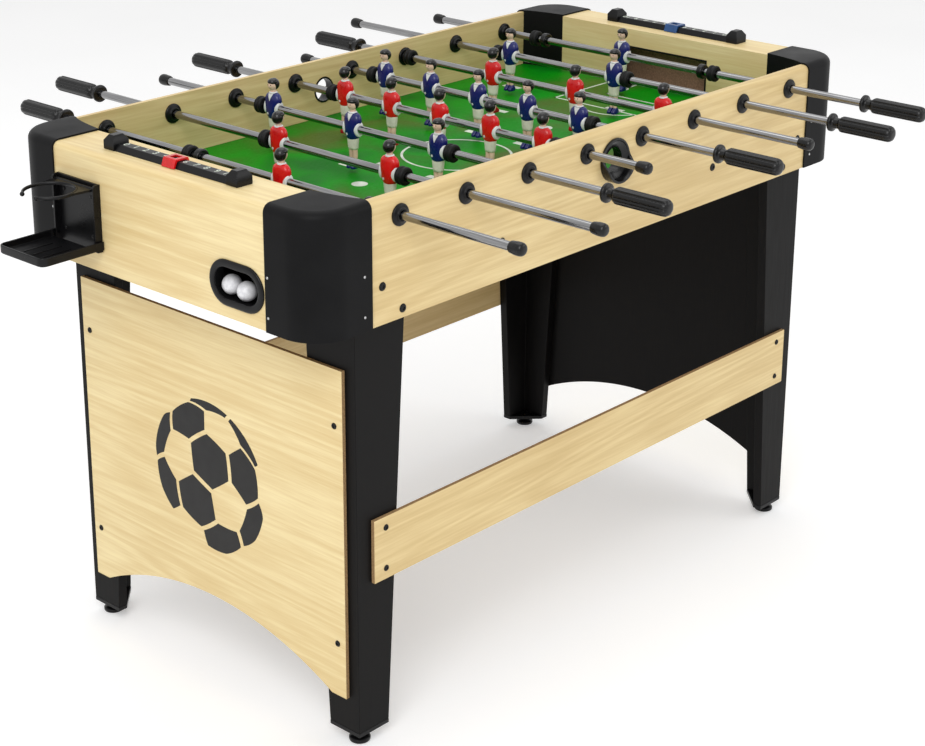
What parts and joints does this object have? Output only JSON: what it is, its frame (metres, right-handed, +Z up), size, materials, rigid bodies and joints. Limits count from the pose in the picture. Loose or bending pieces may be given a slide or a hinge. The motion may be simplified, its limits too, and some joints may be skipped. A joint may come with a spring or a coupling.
{
  "type": "table football table",
  "caption": "Table football cabinet on four tapered legs, with sliding and spinning player rods, ball entries and returns, score rails and folding cup holders.",
  "frame": {"origin": "on the floor under the middle of the table", "axes": "+X along the table's length towards its right end, +Y across it towards the back, +Z up"},
  "size_m": [1.385, 1.126, 0.8005],
  "materials": {
    "maple_board": "pale maple wood-grain foil on fibreboard, satin",
    "black_board": "black foil on fibreboard, satin",
    "field_print": "printed green field with white lines on thin fibreboard, satin",
    "black_plastic": "fine-textured black plastic",
    "gloss_black": "smooth black plastic",
    "rubber": "black rubber",
    "rod_steel": "bright-plated tube",
    "red_plastic": "smooth red plastic",
    "blue_plastic": "smooth blue plastic"
  },
  "bodies": {
    "cabinet": {"side_panel_front": "maple_board", "side_panel_back": "maple_board", "end_rail_left": "maple_board", "end_rail_right": "maple_board", "playfield": "field_print", "corner_cap_front_left": "black_plastic", "corner_cap_back_left": "black_plastic", "corner_cap_front_right": "black_plastic", "corner_cap_back_right": "black_plastic", "leg_front_left": "black_board", "leg_back_left": "black_board", "leg_front_right": "black_board", "leg_back_right": "black_board", "foot_front_left": "black_plastic", "foot_back_left": "black_plastic", "foot_front_right": "black_plastic", "foot_back_right": "black_plastic", "lower_panel_left": "maple_board", "lower_panel_right": "maple_board", "stretcher_front": "maple_board", "stretcher_back": "maple_board", "ball_return_left": "gloss_black", "ball_return_right": "gloss_black", "ball_entry_front": "gloss_black", "ball_entry_back": "gloss_black", "score_rail_left": "gloss_black", "score_rail_right": "gloss_black", "cup_bracket_left": "black_plastic", "cup_bracket_right": "black_plastic", "bumper_6_loose": "rubber"},
    "rod_1_carrier": {"bumper_1": "rubber"},
    "rod_1": {"rod_1": "rod_steel", "handle_1": "gloss_black"},
    "rod_2_carrier": {"bumper_2": "rubber"},
    "rod_2": {"rod_2": "rod_steel", "handle_2": "gloss_black"},
    "rod_3_carrier": {"bumper_3": "rubber"},
    "rod_3": {"rod_3": "rod_steel", "handle_3": "gloss_black"},
    "rod_4_carrier": {"bumper_4": "rubber"},
    "rod_4": {"rod_4": "rod_steel", "handle_4": "gloss_black"},
    "rod_5_carrier": {"bumper_5": "rubber"},
    "rod_5": {"rod_5": "rod_steel", "handle_5": "gloss_black"},
    "rod_6_carrier": {"bumper_6": "rubber"},
    "rod_6": {"rod_6": "rod_steel", "handle_6": "gloss_black"},
    "rod_7_carrier": {"bumper_7": "rubber"},
    "rod_7": {"rod_7": "rod_steel", "handle_7": "gloss_black"},
    "rod_8_carrier": {"bumper_8": "rubber"},
    "rod_8": {"rod_8": "rod_steel", "handle_8": "gloss_black"},
    "score_slider_left": {"score_slider_left": "red_plastic"},
    "score_slider_right": {"score_slider_right": "blue_plastic"},
    "cup_ring_left": {"cup_ring_left": "black_plastic"},
    "cup_tray_left": {"cup_tray_left": "black_plastic"},
    "cup_ring_right": {"cup_ring_right": "black_plastic"},
    "cup_tray_right": {"cup_tray_right": "black_plastic"}
  },
  "joints": [
    {"name": "rod_1_slide", "type": "slide", "parent": "cabinet", "child": "rod_1_carrier", "axis": [0, 1, 0], "range_m": [-0.0029, 0.1729]},
    {"name": "rod_1_spin", "type": "hinge", "parent": "rod_1_carrier", "child": "rod_1", "pos_m": [-0.4382, -0.085, 0.753], "axis": [0, 1, 0], "continuous": true},
    {"name": "rod_2_slide", "type": "slide", "parent": "cabinet", "child": "rod_2_carrier", "axis": [0, 1, 0], "range_m": [-0.085, 0.193]},
    {"name": "rod_2_spin", "type": "hinge", "parent": "rod_2_carrier", "child": "rod_2", "pos_m": [-0.313, -0.054, 0.753], "axis": [0, 1, 0], "continuous": true},
    {"name": "rod_3_slide", "type": "slide", "parent": "cabinet", "child": "rod_3_carrier", "axis": [0, 1, 0], "range_m": [-0.112, 0.047]},
    {"name": "rod_3_spin", "type": "hinge", "parent": "rod_3_carrier", "child": "rod_3", "pos_m": [-0.1878, 0.0325, 0.753], "axis": [0, 1, 0], "continuous": true},
    {"name": "rod_4_slide", "type": "slide", "parent": "cabinet", "child": "rod_4_carrier", "axis": [0, 1, 0], "range_m": [-0.026, 0.074]},
    {"name": "rod_4_spin", "type": "hinge", "parent": "rod_4_carrier", "child": "rod_4", "pos_m": [-0.0626, -0.024, 0.753], "axis": [0, 1, 0], "continuous": true},
    {"name": "rod_5_slide", "type": "slide", "parent": "cabinet", "child": "rod_5_carrier", "axis": [0, 1, 0], "range_m": [-0.062, 0.038]},
    {"name": "rod_5_spin", "type": "hinge", "parent": "rod_5_carrier", "child": "rod_5", "pos_m": [0.0626, 0.012, 0.753], "axis": [0, 1, 0], "continuous": true},
    {"name": "rod_6_slide", "type": "slide", "parent": "cabinet", "child": "rod_6_carrier", "axis": [0, 1, 0], "range_m": [-0.0025, 0.1565]},
    {"name": "rod_6_spin", "type": "hinge", "parent": "rod_6_carrier", "child": "rod_6", "pos_m": [0.1878, -0.077, 0.753], "axis": [0, 1, 0], "continuous": true},
    {"name": "rod_7_slide", "type": "slide", "parent": "cabinet", "child": "rod_7_carrier", "axis": [0, 1, 0], "range_m": [-0.193, 0.085]},
    {"name": "rod_7_spin", "type": "hinge", "parent": "rod_7_carrier", "child": "rod_7", "pos_m": [0.313, 0.054, 0.753], "axis": [0, 1, 0], "continuous": true},
    {"name": "rod_8_slide", "type": "slide", "parent": "cabinet", "child": "rod_8_carrier", "axis": [0, 1, 0], "range_m": [-0.1149, 0.0609]},
    {"name": "rod_8_spin", "type": "hinge", "parent": "rod_8_carrier", "child": "rod_8", "pos_m": [0.4382, 0.027, 0.753], "axis": [0, 1, 0], "continuous": true},
    {"name": "score_slider_left_slide", "type": "slide", "parent": "cabinet", "child": "score_slider_left", "axis": [0, 1, 0], "range_m": [-0.1, 0.1]},
    {"name": "score_slider_right_slide", "type": "slide", "parent": "cabinet", "child": "score_slider_right", "axis": [0, 1, 0], "range_m": [-0.1, 0.1]},
    {"name": "cup_ring_left_fold", "type": "hinge", "parent": "cabinet", "child": "cup_ring_left", "pos_m": [-0.5947, 0.16, 0.732], "axis": [0, -1, 0], "range_deg": [0, 90]},
    {"name": "cup_tray_left_fold", "type": "hinge", "parent": "cabinet", "child": "cup_tray_left", "pos_m": [-0.5947, 0.16, 0.655], "axis": [0, 1, 0], "range_deg": [0, 45]},
    {"name": "cup_ring_right_fold", "type": "hinge", "parent": "cabinet", "child": "cup_ring_right", "pos_m": [0.5947, -0.16, 0.732], "axis": [0, 1, 0], "range_deg": [0, 90]},
    {"name": "cup_tray_right_fold", "type": "hinge", "parent": "cabinet", "child": "cup_tray_right", "pos_m": [0.5947, -0.16, 0.655], "axis": [0, -1, 0], "range_deg": [0, 45]}
  ]
}
